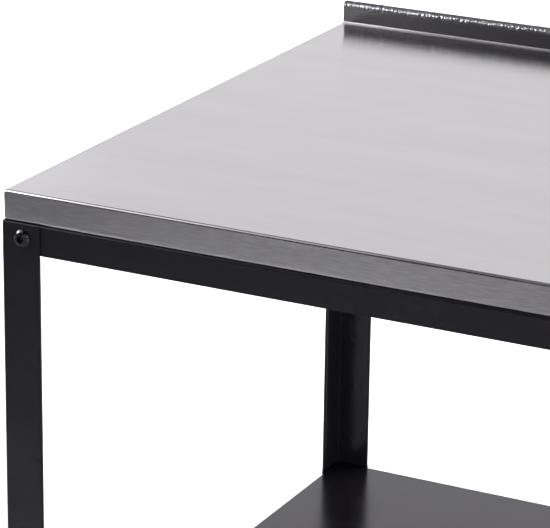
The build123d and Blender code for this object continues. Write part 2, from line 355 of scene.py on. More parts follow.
def flange_end(hemmed):
    """Free edge of a leg's flange, points from its outer to its inner face, flange along x and sheet along y.

    Hemmed, it folds through a half circle on to the inner face, up to a thin slit; plain, the sheet is cut
    square with two small rounds. Both have the same number of points.
    """
    fold = leg_flange - leg_sheet
    strip_end = leg_flange - hem_width
    if hemmed:
        half_circle = arc((fold, leg_sheet), leg_sheet, -90, 90, 13)
        strip_top = 2 * leg_sheet
        corner = arc((strip_end + sheared_edge, strip_top - sheared_edge), sheared_edge, 90, 180, 4)
        slit = [(strip_end, leg_sheet + hem_slit), (strip_end + hem_slit_depth, leg_sheet + hem_slit / 2),
                (strip_end - sheared_edge, leg_sheet)]
        return np.concatenate([half_circle, corner, slit])
    outer = arc((leg_flange - sheared_edge, sheared_edge), sheared_edge, -90, 0, 6)
    inner = arc((leg_flange - sheared_edge, leg_sheet - sheared_edge), sheared_edge, 0, 90, 6)
    run = np.linspace(fold, strip_end - sheared_edge, 8)
    flat = np.stack([run, np.full(8, leg_sheet)], axis=1)
    return np.concatenate([outer, inner, flat])


def leg_section(hemmed):
    """Section of a leg: outer bend, one flange's end, inner bend, and the other flange's end mirrored."""
    centre = leg_sheet + leg_bend_inside
    end = flange_end(hemmed)
    return np.concatenate([
        arc((centre, centre), centre, 180, 270),
        end,
        arc((centre, centre), leg_bend_inside, 270, 180),
        end[::-1, ::-1],
    ])


def leg_shape():
    """Leg of the front left corner: the hemmed section upwards, plain where the shelf and the rails sit.

    The outer edge of its top is a quarter circle: while the level rises with the sine, both outer faces, at
    x = 0 and y = 0, move in with one minus the cosine.
    """
    hemmed, plain = leg_section(True), leg_section(False)
    shelf_seat = (shelf_bottom - hem_clearance, shelf_height + hem_clearance)
    rail_seat = rail_bottom - hem_clearance
    stations = [(hemmed, leg_bottom), (hemmed, shelf_seat[0]), (plain, shelf_seat[0]), (plain, shelf_seat[1]),
                (hemmed, shelf_seat[1]), (hemmed, rail_seat), (plain, rail_seat)]
    top_round = arc((leg_top_round, rail_top - leg_top_round), leg_top_round, 180, 90, 5)
    stations += [(np.maximum(plain, inset), level) for inset, level in top_round]
    return loft(np.array([np.insert(section, 2, level, axis=1) for section, level in stations]))


def rail_section():
    """Section of a rail, (x inwards, y downwards) from its outer top corner, cut edges slightly rounded."""
    centre = rail_sheet + rail_bend_inside
    edge, sheet = sheared_edge, rail_sheet
    return np.concatenate([
        arc((centre, centre), centre, 270, 180),
        arc((edge, rail_height - edge), edge, 180, 90, 3),
        arc((sheet - edge, rail_height - edge), edge, 90, 0, 3),
        arc((centre, centre), rail_bend_inside, 180, 270),
        arc((rail_width - edge, sheet - edge), edge, 90, 0, 3),
        arc((rail_width - edge, edge), edge, 0, -90, 3),
    ])


def rail_shape(span, reach, end_gap, flange_gap):
    """Rail along the front of a frame of that span and reach: the section carried along X.

    The whole rail stops at the end gap from the frame's ends. Its flat flange stops earlier, at the flange
    gap, past which the section is pressed flat on to the upright sheet.
    """
    section = rail_section()
    upright = np.minimum(section, [rail_sheet, rail_height])
    end, flange = span / 2 - end_gap, span / 2 - flange_gap
    stations = [(upright, -end), (upright, -flange), (section, -flange),
                (section, flange), (upright, flange), (upright, end)]
    if flange_gap <= end_gap:
        stations = [(section, -end), (section, end)]
    face = -reach / 2 + leg_sheet
    rings = [np.stack([np.full(len(s), x), face + s[:, 0], rail_top - s[:, 1]], axis=1) for s, x in stations]
    return loft(np.array(rings))


def tray_ring(half_x, half_y, inset, level, corner_radius):
    """Rounded rectangle at a level, drawn in by the inset. Past the corner radius its corners are sharp."""
    centre_x, centre_y = half_x - max(inset, corner_radius), half_y - max(inset, corner_radius)
    radius = max(corner_radius - inset, 0)
    ring = np.concatenate([
        arc((centre_x, centre_y), radius, 0, 90),
        arc((-centre_x, centre_y), radius, 90, 180),
        arc((-centre_x, -centre_y), radius, 180, 270),
        arc((centre_x, -centre_y), radius, 270, 360),
    ])
    return np.insert(ring, 2, level, axis=1)


def shelf_shape():
    """Shelf: a tray upside down, rings from its face round the outside, under the skirt and back inside.

    The profile of (inset, level) pairs runs over the top bend, down the skirt, round the lower bend, along
    the turned-in flange and back one sheet further in.
    """
    top, bottom = shelf_height - shelf_bend, shelf_bottom + shelf_bend
    inside = shelf_bend - shelf_sheet
    profile = np.concatenate([
        arc((shelf_bend, top), shelf_bend, 90, 180),
        arc((shelf_bend, bottom), shelf_bend, 180, 270),
        [(shelf_return, shelf_bottom), (shelf_return, shelf_bottom + shelf_sheet)],
        arc((shelf_bend, bottom), inside, 270, 180),
        arc((shelf_bend, top), inside, 180, 90),
    ])
    rings = [tray_ring(shelf_half_width, shelf_half_depth, inset, level, shelf_bend)
             for inset, level in profile]
    return loft(np.array(rings))


def hat_section(depth):
    """Hat section below y = 0: half of it, from the crown's middle round the brim and back, then mirrored."""
    inside, sheet, edge = stiffener_bend_inside, stiffener_sheet, sheared_edge
    outside = inside + sheet
    web = stiffener_crown / 2
    brim = web + stiffener_brim
    crown_centre, brim_centre = (web - outside, outside - depth), (web + inside, -outside)
    right = np.concatenate([
        arc(crown_centre, outside, 270, 360),
        arc(brim_centre, inside, 180, 90),
        arc((brim - edge, edge - sheet), edge, 270, 360, 3),
        arc((brim - edge, -edge), edge, 0, 90, 3),
        arc(brim_centre, outside, 90, 180),
        arc(crown_centre, inside, 360, 270),
    ])
    return np.concatenate([right, right[::-1] * [-1, 1]])


def worktop_stiffener_shape(x):
    """Hat section carried from front to rear under the worktop."""
    half_length = worktop_half_depth - worktop_return - stiffener_clearance
    section = hat_section(worktop_stiffener_depth) + [x, worktop_height - worktop_sheet]
    return loft(np.array([np.insert(section, 1, y, axis=1) for y in (-half_length, half_length)]))


def shelf_stiffener_shape():
    """Hat section carried from side to side under the shelf."""
    half_length = shelf_half_width - shelf_bend - stiffener_clearance
    section = hat_section(shelf_stiffener_depth) + [0, shelf_height - shelf_sheet]
    return loft(np.array([np.insert(section, 0, x, axis=1) for x in (-half_length, half_length)]))


# Turned and hexagonal shapes, rings about the Z axis
RING_POINTS = 48
ring_angle = np.linspace(0, 2 * math.pi, RING_POINTS, endpoint=False)


def round_ring(radius, level):
    """Ring at a level. Radius and level are one number each, or one for each of the ring's points."""
    ones = np.ones(RING_POINTS)
    return np.stack([radius * np.cos(ring_angle), radius * np.sin(ring_angle), level * ones], axis=1)


def hexagon(width):
    """Distance from the axis to a hexagon's side: half the width over the cosine from the nearest flat."""
    from_flat = (ring_angle + math.pi / 6) % (math.pi / 3) - math.pi / 6
    return width / 2 / np.cos(from_flat)


def thread(radius, pitch, low, high, steps=8):
    """Rings of a right-hand thread from low to high.

    The radius falls by part of the pitch and rises again along a triangle wave of height and angle. The wave
    fades out over half a pitch at both ends.
    """
    level = np.linspace(low, high, max(int((high - low) / pitch * steps), 4))[:, None]
    turn = (level / pitch - ring_angle[None, :] / (2 * math.pi)) % 1
    valley = 1 - np.abs(2 * turn - 1)
    fade = np.clip(np.minimum(level - low, high - level) / (pitch / 2), 0, 1)
    depth = radius - thread_depth_share * pitch * valley * fade
    return [round_ring(r, z[0]) for r, z in zip(depth, level)]


def button_bolt(radius, length, head_radius, head_height, head_rim, dome_radius, socket, socket_depth, pitch):
    """Button-head bolt, head above the XY plane: rings from the socket's floor over the dome to the shank.

    The dome is an arc of the dome radius from the crown to the rim. Thread shows on the last pitches only.
    """
    crown = socket / math.sqrt(3) + head_rim
    chord = np.array([head_radius - crown, head_rim - head_height])
    half = np.linalg.norm(chord) / 2
    middle = np.array([crown, head_height]) + chord / 2
    normal = np.array([chord[1], -chord[0]]) / (2 * half)
    centre = middle + normal * math.sqrt(dome_radius ** 2 - half ** 2)
    start = math.degrees(math.atan2(head_height - centre[1], crown - centre[0]))
    end = math.degrees(math.atan2(head_rim - centre[1], head_radius - centre[0]))
    dome = arc(centre, dome_radius, start, end, 12)
    floor = head_height - socket_depth
    threaded = threaded_pitches * pitch
    hexagonal = hexagon(socket)
    rings = [
        round_ring(socket_tip_share * hexagonal, floor - socket_tip_depth),
        round_ring(socket_floor_share * hexagonal, floor),
        round_ring(hexagonal, floor + socket_floor_round),
        round_ring(hexagonal, head_height - socket_mouth_depth),
        round_ring(hexagonal + socket_mouth_width, head_height),
    ]
    rings += [round_ring(r, z) for r, z in dome]
    rings += [round_ring(head_radius - head_underside, 0), round_ring(radius, 0)]
    rings += [round_ring(radius, threaded - length)]
    rings += thread(radius, pitch, -length + shank_end, threaded - length)[::-1]
    rings += [round_ring(radius - thread_depth_share * pitch, -length)]
    return loft(np.array(rings))


def hex_nut(width, height, bore):
    """Hex nut standing on the XY plane, corners cut by a cone at both ends, bore countersunk."""
    side = hexagon(width)
    face = hex_face_share * width / 2
    cut = (side - face) * math.tan(math.radians(hex_cut_angle))
    rings = [
        round_ring(bore, nut_countersink),
        round_ring(bore + nut_countersink, 0),
        round_ring(face, 0),
        round_ring(side, cut),
        round_ring(side, height - cut),
        round_ring(face, height),
        round_ring(bore + nut_countersink, height),
        round_ring(bore, height - nut_countersink),
    ]
    return loft(np.array(rings), round_trip=True)


def clinch_nut():
    """Round nut standing on the XY plane with small chamfers, and a bore."""
    bore, radius, height = screw_radius + thread_clearance, clinch_nut_radius, clinch_nut_height
    mouth = bore + clinch_countersink
    rings = [
        round_ring(bore, clinch_countersink),
        round_ring(mouth, 0),
        round_ring(radius, 0),
        round_ring(radius, height - clinch_edge),
        round_ring(radius - clinch_edge, height),
        round_ring(mouth, height),
        round_ring(bore, height - clinch_countersink),
    ]
    return loft(np.array(rings), round_trip=True)


def pad_shape():
    """Foot pad about its own axis: flat sole, rounded edge, sloping shoulder, rounded boss, blind socket."""
    shoulder = math.degrees(math.atan2(pad_radius - pad_boss_radius, pad_height - pad_edge))
    rim = pad_radius - pad_round
    bore = stud_radius + thread_clearance
    profile = np.concatenate([
        [(pad_boss_radius, pad_sole_edge), (pad_boss_radius + pad_sole_edge, 0)],
        arc((rim, pad_round), pad_round, -90, 0),
        arc((rim, pad_edge - pad_round), pad_round, 0, 90 - shoulder / 2, 5),
        arc((pad_boss_radius - pad_round, pad_height - pad_round), pad_round, 90 - shoulder / 2, 90, 5),
        [(bore + pad_mouth, pad_height), (bore, pad_height - pad_mouth), (bore, pad_floor)],
    ])
    return loft(np.array([round_ring(r, z) for r, z in profile]))


def stud_shape():
    """Foot stud about its own axis: plain spigot, hex collar with cut corners, thread to a chamfered end."""
    side = hexagon(collar_width)
    face = hex_face_share * collar_width / 2
    cut = (side - face) * math.tan(math.radians(hex_cut_angle))
    collar_top = collar_bottom + collar_height
    rings = [
        round_ring(stud_radius - stud_chamfer, stud_bottom),
        round_ring(stud_radius, stud_bottom + stud_chamfer),
        round_ring(stud_radius, collar_bottom),
        round_ring(face, collar_bottom),
        round_ring(side, collar_bottom + cut),
        round_ring(side, collar_top - cut),
        round_ring(face, collar_top),
        round_ring(stud_radius - stud_chamfer, collar_top),
    ]
    rings += thread(stud_radius, bolt_pitch, collar_top + stud_chamfer, stud_top - stud_tip)
    rings += [round_ring(stud_radius - stud_tip_depth, stud_top)]
    return loft(np.array(rings))


# Places of the fasteners


def through_flanges(shape, level, depth):
    """Copies of a shape on both flanges of every leg, its +Z pointing outwards, at a depth from the face.

    Each copy is turned about its own axis by a different angle, as hands leave them.
    """
    copies = []
    for number, corner in enumerate(corners):
        for flange in (0, 1):
            points, faces = shape
            u, v, w = turned(points, bolt_turn * (2 * number + flange)).T
            along = np.stack([u + bolt_inset, depth - w, v + level], axis=1)
            if flange:
                along = np.stack([depth - w, u + bolt_inset, level - v], axis=1)
            copies.append(at_corner((along, faces), corner))
    return join(copies)


def at_worktop_screws(shape):
    """Copies of a shape at the rails' top face: three along front and rear, one on each side."""
    points, faces = shape
    reach_x = frame_width / 2 - leg_sheet - screw_inset
    reach_y = frame_depth / 2 - leg_sheet - screw_inset
    places = [(x, y) for y in (-reach_y, reach_y) for x in (-screw_spacing, 0, screw_spacing)]
    places += [(-reach_x, 0), (reach_x, 0)]
    return join([(turned(points, screw_turn * number) + np.array([x, y, rail_top]), faces)
                 for number, (x, y) in enumerate(places)])


# Materials


def add_node(tree, kind, inputs=None, **settings):
    """Adds a node of that kind, sets its properties, and links or sets its inputs by name or number."""
    node = tree.nodes.new(kind)
    for name, value in settings.items():
        setattr(node, name, value)
    for name, value in (inputs or {}).items():
        if isinstance(value, bpy.types.NodeSocket):
            tree.links.new(value, node.inputs[name])
        else:
            node.inputs[name].default_value = value
    return node


def new_material(name):
    """Empty node material and its tree."""
    material = bpy.data.materials.new(name)
    material.use_nodes = True
    material.node_tree.nodes.clear()
    return material, material.node_tree


def finish_material(tree, **inputs):
    """Principled shader with the given inputs, on the material's output."""
    named = {name.replace("_", " "): value for name, value in inputs.items()}
    shader = add_node(tree, "ShaderNodeBsdfPrincipled", named)
    add_node(tree, "ShaderNodeOutputMaterial", {"Surface": shader.outputs["BSDF"]})


def sheet_pattern(tree, sheet, length, width, detail, roughness=0.5):
    """Noise stretched to a length along the worktop's grain and a width across it, both in metres."""
    scale = (1 / length, 1 / width, 1)
    place = add_node(tree, "ShaderNodeMapping", {"Vector": sheet, "Scale": scale}).outputs["Vector"]
    settings = {"Vector": place, "Scale": 1.0, "Detail": detail, "Roughness": roughness}
    return add_node(tree, "ShaderNodeTexNoise", settings).outputs["Fac"]


def brushed_stainless():
    """Stainless sheet brushed along its length, as on a kitchen worktop.

    Long fine scratches run along the grain, so reflections smear across it and stay crisp along it. The
    folded rim is brushed more coarsely and shows its lines. The rolled top of the upstand is darker, and
    dents of about 3 mm break up its highlight.
    """
    # Streaks and lines stand for scratches of 0.1 mm, which would be too fine to show
    streak_length = 0.06
    streak_width = 0.0015
    cloud_length = 0.3
    cloud_width = 0.04
    line_length = 0.014
    line_width = 0.0009
    dent_length = 0.0028
    dent_width = 0.004
    scratch_depth = 0.0003
    dent_depth = 0.0011
    # Levels where the rim bends into the face, and where the upstand's face bends into its roll
    rim_end = 0.886
    face_start = 0.8895
    roll_start = 0.903
    roll_full = 0.907

    material, tree = new_material("brushed_stainless_steel")
    sheet = add_node(tree, "ShaderNodeUVMap", uv_map="sheet").outputs["UV"]
    place = add_node(tree, "ShaderNodeTexCoord").outputs["Object"]
    height = add_node(tree, "ShaderNodeSeparateXYZ", {"Vector": place}).outputs["Z"]
    on_rim = add_node(tree, "ShaderNodeMapRange", {
        "Value": height, "From Min": rim_end, "From Max": face_start, "To Min": 1.0, "To Max": 0.0})
    on_roll = add_node(tree, "ShaderNodeMapRange", {
        "Value": height, "From Min": roll_start, "From Max": roll_full, "To Min": 0.0, "To Max": 1.0})
    rim = on_rim.outputs["Result"]
    roll = on_roll.outputs["Result"]

    # Colour: streaks and broad clouds on the face, clear lines on the rim, a darker roll
    streaks = sheet_pattern(tree, sheet, streak_length, streak_width, 3.0, 0.6)
    clouds = sheet_pattern(tree, sheet, cloud_length, cloud_width, 2.0)
    lines = sheet_pattern(tree, sheet, line_length, line_width, 2.0)
    clear_lines = add_node(tree, "ShaderNodeMapRange", {
        "Value": lines, "From Min": 0.31, "From Max": 0.69, "To Min": 0.0, "To Max": 1.0})
    grain = add_node(tree, "ShaderNodeMix", {"Factor": 0.5, "A": streaks, "B": clouds})
    shade = add_node(tree, "ShaderNodeMix", {
        "Factor": rim, "A": grain.outputs["Result"], "B": clear_lines.outputs["Result"]})
    bright = add_node(tree, "ShaderNodeValToRGB", {"Fac": shade.outputs["Result"]})
    dark_grain, light_grain = bright.color_ramp.elements
    dark_grain.color = linear_colour("#C5C2C6")
    light_grain.color = linear_colour("#DFDCE0")
    colour = add_node(tree, "ShaderNodeMix", {
        "Factor": roll, "A": bright.outputs["Color"], "B": linear_colour("#9C9AA0")}, data_type="RGBA")

    # Gloss follows the streaks, and the roll is a little duller
    brushed = add_node(tree, "ShaderNodeMapRange", {
        "Value": streaks, "From Min": 0.3, "From Max": 0.7, "To Min": 0.125, "To Max": 0.14})
    roughness = add_node(tree, "ShaderNodeMath", {
        0: roll, 1: 0.02, 2: brushed.outputs["Result"]}, operation="MULTIPLY_ADD")

    # Relief: scratches everywhere, deeper on the rim, and dents on the roll alone
    deeper = add_node(tree, "ShaderNodeMapRange", {
        "Value": height, "From Min": rim_end, "From Max": face_start, "To Min": 0.62, "To Max": 0.15})
    scratched = add_node(tree, "ShaderNodeBump", {
        "Height": streaks, "Strength": deeper.outputs["Result"], "Distance": scratch_depth})
    dents = sheet_pattern(tree, sheet, dent_length, dent_width, 2.0)
    level_dents = add_node(tree, "ShaderNodeMath", {0: dents, 1: 0.5}, operation="SUBTRACT")
    roll_dents = add_node(tree, "ShaderNodeMath", {
        0: level_dents.outputs["Value"], 1: roll}, operation="MULTIPLY")
    surface = add_node(tree, "ShaderNodeBump", {
        "Height": roll_dents.outputs["Value"], "Strength": 1.0, "Distance": dent_depth,
        "Normal": scratched.outputs["Normal"]})
    tangent = add_node(tree, "ShaderNodeTangent", direction_type="UV_MAP", uv_map="sheet")
    finish_material(tree, Base_Color=colour.outputs["Result"], Metallic=1.0,
                    Roughness=roughness.outputs["Value"], Anisotropic=0.82, Anisotropic_Rotation=0.25,
                    Tangent=tangent.outputs["Tangent"], Normal=surface.outputs["Normal"])
    return material


def black_powder_coat(name, darkest, lightest, smooth, rough, peel, lacquer, sheen):
    """Black polyester powder coat, baked on.

    A satin skin with a faint orange peel of about 1.5 mm, slightly uneven in gloss, over a soft near-black.
    Peel is the height of the bumps in metres, lacquer the refractive index of the skin and sheen its tint.
    """
    peel_size = 0.0015
    cloud_size = 0.06
    material, tree = new_material(name)
    place = add_node(tree, "ShaderNodeTexCoord").outputs["Object"]
    bumps = add_node(tree, "ShaderNodeTexNoise", {"Vector": place, "Scale": 1 / peel_size, "Detail": 2.0})
    clouds = add_node(tree, "ShaderNodeTexNoise", {"Vector": place, "Scale": 1 / cloud_size, "Detail": 3.0})
    cloud = clouds.outputs["Fac"]
    colour = add_node(tree, "ShaderNodeValToRGB", {"Fac": cloud})
    dark, light = colour.color_ramp.elements
    dark.position = 0.3
    dark.color = linear_colour(darkest)
    light.position = 0.7
    light.color = linear_colour(lightest)
    roughness = add_node(tree, "ShaderNodeMapRange", {
        "Value": cloud, "From Min": 0.3, "From Max": 0.7, "To Min": smooth, "To Max": rough})
    surface = add_node(tree, "ShaderNodeBump", {
        "Height": bumps.outputs["Fac"], "Strength": 0.5, "Distance": peel})
    finish_material(tree, Base_Color=colour.outputs["Color"], Roughness=roughness.outputs["Result"],
                    IOR=lacquer, Specular_Tint=linear_colour(sheen), Normal=surface.outputs["Normal"])
    return material


def galvanised_steel():
    """Hot-dip galvanised sheet: dull zinc spangle, crystals of about 9 mm that differ in grey and gloss."""
    spangle_size = 0.009
    material, tree = new_material("galvanised_steel")
    place = add_node(tree, "ShaderNodeTexCoord").outputs["Object"]
    spangle = add_node(tree, "ShaderNodeTexVoronoi", {
        "Vector": place, "Scale": 1 / spangle_size, "Randomness": 1.0})
    patch = add_node(tree, "ShaderNodeSeparateColor", {"Color": spangle.outputs["Color"]}).outputs["Red"]
    colour = add_node(tree, "ShaderNodeValToRGB", {"Fac": patch})
    dark, light = colour.color_ramp.elements
    dark.color = linear_colour("#A3A8AB")
    light.color = linear_colour("#BDC1C4")
    roughness = add_node(tree, "ShaderNodeMapRange", {"Value": patch, "To Min": 0.38, "To Max": 0.52})
    finish_material(tree, Base_Color=colour.outputs["Color"], Metallic=1.0,
                    Roughness=roughness.outputs["Result"])
    return material


def dark_zinc():
    """Black-chromated zinc plate on turned steel: a dark mirror, softly clouded, with 0.3 mm tool marks."""
    cloud_size = 0.003
    mark_size = 0.0003
    mark_depth = 0.00002
    material, tree = new_material("black_zinc_plate")
    place = add_node(tree, "ShaderNodeTexCoord").outputs["Object"]
    clouds = add_node(tree, "ShaderNodeTexNoise", {"Vector": place, "Scale": 1 / cloud_size, "Detail": 3.0})
    marks = add_node(tree, "ShaderNodeTexNoise", {"Vector": place, "Scale": 1 / mark_size, "Detail": 1.0})
    cloud = clouds.outputs["Fac"]
    colour = add_node(tree, "ShaderNodeValToRGB", {"Fac": cloud})
    dark, light = colour.color_ramp.elements
    dark.position = 0.3
    dark.color = linear_colour("#434448")
    light.position = 0.7
    light.color = linear_colour("#525357")
    roughness = add_node(tree, "ShaderNodeMapRange", {
        "Value": cloud, "From Min": 0.3, "From Max": 0.7, "To Min": 0.1, "To Max": 0.17})
    surface = add_node(tree, "ShaderNodeBump", {
        "Height": marks.outputs["Fac"], "Strength": 0.2, "Distance": mark_depth})
    finish_material(tree, Base_Color=colour.outputs["Color"], Metallic=1.0,
                    Roughness=roughness.outputs["Result"], Normal=surface.outputs["Normal"])
    return material


def moulded_polyamide():
    """Injection-moulded black polyamide: matt, with the fine spark-eroded grain of its mould."""
    grain_size = 0.0004
    grain_depth = 0.00006
    flow_size = 0.008
    material, tree = new_material("moulded_black_polyamide")
    place = add_node(tree, "ShaderNodeTexCoord").outputs["Object"]
    grain = add_node(tree, "ShaderNodeTexNoise", {"Vector": place, "Scale": 1 / grain_size, "Detail": 2.0})
    flow = add_node(tree, "ShaderNodeTexNoise", {"Vector": place, "Scale": 1 / flow_size, "Detail": 2.0})
    flow_line = flow.outputs["Fac"]
    colour = add_node(tree, "ShaderNodeValToRGB", {"Fac": flow_line})
    dark, light = colour.color_ramp.elements
    dark.color = linear_colour("#161618")
    light.color = linear_colour("#242427")
    roughness = add_node(tree, "ShaderNodeMapRange", {"Value": flow_line, "To Min": 0.5, "To Max": 0.65})
    surface = add_node(tree, "ShaderNodeBump", {
        "Height": grain.outputs["Fac"], "Strength": 0.5, "Distance": grain_depth})
    finish_material(tree, Base_Color=colour.outputs["Color"], Roughness=roughness.outputs["Result"],
                    IOR=1.53, Normal=surface.outputs["Normal"])
    return material


def pale_floor():
    """Matt painted studio floor, pale grey with a barely uneven tone over half a metre."""
    cloud_size = 0.5
    material, tree = new_material("matt_floor_paint")
    place = add_node(tree, "ShaderNodeTexCoord").outputs["Object"]
    clouds = add_node(tree, "ShaderNodeTexNoise", {"Vector": place, "Scale": 1 / cloud_size, "Detail": 2.0})
    colour = add_node(tree, "ShaderNodeValToRGB", {"Fac": clouds.outputs["Fac"]})
    dark, light = colour.color_ramp.elements
    dark.color = linear_colour("#C2C2C2")
    light.color = linear_colour("#C7C7C7")
    finish_material(tree, Base_Color=colour.outputs["Color"], Roughness=0.9, Specular_IOR_Level=0.2)
    return material


stainless = brushed_stainless()
frame_black = black_powder_coat("black_powder_coat", darkest="#18171D", lightest="#1E1D23", smooth=0.22,
                                rough=0.26, peel=0.000012, lacquer=1.46, sheen="#FAF8FF")
shelf_black = black_powder_coat("smooth_black_powder_coat", darkest="#0E0D12", lightest="#131117", smooth=0.2,
                                rough=0.25, peel=0.00001, lacquer=1.82, sheen="#F6EFFF")
galvanised = galvanised_steel()
zinc = dark_zinc()
polyamide = moulded_polyamide()

# Pieces of the frame
add_piece("folded_worktop", worktop_shape(), "frame", ["worktop"], stainless,
          worktop_sheet_map)
add_piece("folded_shelf", shelf_shape(), "frame", ["shelf"], shelf_black)
for side, place in (("left", -1), ("right", 1)):
    stiffener = worktop_stiffener_shape(place * worktop_stiffener_spread / 2)
    add_piece(f"hat_stiffener_{side}", stiffener, "frame",
              [f"worktop_stiffener_{side}"], galvanised)
add_piece("hat_stiffener_shelf", shelf_stiffener_shape(), "frame",
          ["shelf_stiffener"], frame_black)

long_gap = leg_sheet + rail_sheet + rail_clearance
side_gap = leg_sheet + leg_bend_inside + rail_clearance
side_flange_gap = leg_sheet + rail_width + rail_clearance
long_rail = rail_shape(frame_width, frame_depth, long_gap, long_gap)
side_rail = rail_shape(frame_depth, frame_width, side_gap, side_flange_gap)
for side, (points, faces), turn in (("front", long_rail, 0), ("rear", long_rail, 180),
                                    ("left", side_rail, -90), ("right", side_rail, 90)):
    add_piece(f"angle_rail_{side}", (turned(points, turn), faces), "frame",
              [f"{side}_rail"], frame_black)

# Bolts, nuts and screws
fastened = {
    "frame": (rail_bolt_level, leg_sheet + rail_sheet),
    "shelf": (shelf_bolt_level, leg_sheet + shelf_sheet),
}
nut = hex_nut(nut_width, nut_height, bolt_radius + thread_clearance)
seated_nut = (nut[0] - np.array([0, 0, nut_height]), nut[1])
for name, (level, grip) in fastened.items():
    bolt_length = grip + nut_height + bolt_tail
    bolt = button_bolt(bolt_radius, bolt_length, bolt_head_radius, bolt_head_height, bolt_head_rim,
                       bolt_dome_radius, bolt_socket, bolt_socket_depth, bolt_pitch)
    add_piece(f"button_bolts_{name}", through_flanges(bolt, level, 0), "frame",
              [f"{name}_bolts"], zinc)
    add_piece(f"hex_nuts_{name}", through_flanges(seated_nut, level, grip), "frame",
              [f"{name}_nuts"], zinc)
screw_length = rail_sheet + worktop_sheet + clinch_nut_height + screw_tail
screw = button_bolt(screw_radius, screw_length, screw_head_radius, screw_head_height, screw_head_rim,
                    screw_dome_radius, screw_socket, screw_socket_depth, screw_pitch)
upturned_screw = (screw[0] * np.array([1, -1, -1]) - np.array([0, 0, rail_sheet]), screw[1])
add_piece("worktop_screw_set", at_worktop_screws(upturned_screw), "frame",
          ["worktop_screws"], zinc)
ring_nut = clinch_nut()
raised_nut = (ring_nut[0] + np.array([0, 0, worktop_sheet]), ring_nut[1])
add_piece("clinch_nut_set", at_worktop_screws(raised_nut), "frame",
          ["worktop_clinch_nuts"], zinc)

# Legs and feet
weld_nut = hex_nut(weld_nut_width, weld_nut_height, stud_radius + thread_clearance)
foot_axis = np.array([foot_inset, foot_inset, 0])
welded_nut = (weld_nut[0] + foot_axis + np.array([0, 0, plate_top]), weld_nut[1])
add_piece("weld_nut_set", join([at_corner(welded_nut, corner) for corner in corners]), "frame",
          ["foot_weld_nuts"], frame_black)
leg = leg_shape()
pad = pad_shape()
stud = stud_shape()
placed_pad = (pad[0] + foot_axis, pad[1])
placed_stud = (stud[0] + foot_axis, stud[1])
for corner in corners:
    add_piece(f"angle_leg_{corner}", at_corner(leg, corner), "frame",
              [f"leg_{corner}"], frame_black)
    add_piece(f"round_pad_{corner}", at_corner(placed_pad, corner), f"pad_{corner}",
              [f"foot_pad_{corner}"], polyamide)
    add_piece(f"threaded_stud_{corner}", at_corner(placed_stud, corner), f"stud_{corner}",
              [f"foot_stud_{corner}"], zinc)
    foot_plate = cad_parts[f"foot_plate_{corner}"]
    foot_plate.data.materials.clear()
    foot_plate.data.materials.append(frame_black)

# Floor
floor_half = 12.0
floor_mesh = bpy.data.meshes.new("floor")
floor_corners = [(-floor_half, -floor_half, 0), (floor_half, -floor_half, 0),
                 (floor_half, floor_half, 0), (-floor_half, floor_half, 0)]
floor_mesh.from_pydata(floor_corners, [], [(0, 1, 2, 3)])
floor_mesh.materials.append(pale_floor())
floor = bpy.data.objects.new("floor", floor_mesh)
bpy.context.scene.collection.objects.link(floor)

# Camera at the photograph's place: turned to the left, tilted down and rolled a little
camera_place = (0.7519, -2.1714, 1.5874)
camera_yaw = 26.849
camera_tilt = 18.944
camera_roll = 0.797
camera_data = bpy.data.cameras.new("camera")
camera_data.sensor_width = 36.0
camera_data.lens = 196.493
camera_data.clip_end = 100.0
camera = bpy.data.objects.new("camera", camera_data)
camera.matrix_world = (Matrix.Translation(camera_place)
                       @ Matrix.Rotation(math.radians(camera_yaw), 4, "Z")
                       @ Matrix.Rotation(math.radians(90 - camera_tilt), 4, "X")
                       @ Matrix.Rotation(math.radians(camera_roll), 4, "Z"))
bpy.context.scene.collection.objects.link(camera)
bpy.context.scene.camera = camera


# Light


def add_softbox(name, place, aim, size, radiance, in_reflections, spread=180):
    """Rectangular soft light that faces the aim point, its beam limited to the spread in degrees.

    Its power is radiance times area times pi.
    """
    data = bpy.data.lights.new(name, "AREA")
    data.shape = "RECTANGLE"
    data.size, data.size_y = size
    data.energy = radiance * size[0] * size[1] * math.pi
    data.spread = math.radians(spread)
    softbox = bpy.data.objects.new(name, data)
    direction = np.subtract(aim, place)
    sideways = np.cross(direction, (0.0, 1.0, 0.001))
    columns = np.stack([sideways, np.cross(sideways, direction), -direction])
    columns = columns / np.linalg.norm(columns, axis=1)[:, None]
    turn = Matrix(columns.T.tolist()).to_4x4()
    softbox.matrix_world = Matrix.Translation(place) @ turn
    softbox.visible_camera = False
    softbox.visible_glossy = in_reflections
    bpy.context.scene.collection.objects.link(softbox)


def add_floor_light(name, place, size, radiance, spread):
    """Softbox that looks straight down on the floor and shows in no reflection."""
    x, y, height = place
    add_softbox(name, place, (x, y, 0.0), size, radiance, False, spread)


# Large softbox over the left front corner, in three strips that get dimmer towards the right
key_depth = 0.85
for name, x, width, radiance in (("key_left", -1.125, 0.35, 3.0), ("key_middle", -0.85, 0.2, 1.05),
                                 ("key_right", -0.645, 0.21, 0.4)):
    add_softbox(name, (x, -0.62, 1.875), (x, -0.03, 1.065), (width, key_depth), radiance, True)
# Two softboxes that shine on the front left bolt, and a fill for the rear leg
bolt_place = (-0.41, -0.31, 0.853)
add_softbox("left_softbox", (-1.46, -0.63, 1.53), bolt_place, (0.5, 0.5), 4.4, True, 80)
add_softbox("right_softbox", (1.09, -1.51, 1.39), bolt_place, (0.3, 0.5), 1.6, True)
add_softbox("fill_light", (1.6, -1.4, 0.75), (-0.4, 0.28, 0.65), (0.6, 0.5), 2.0, False, 40)
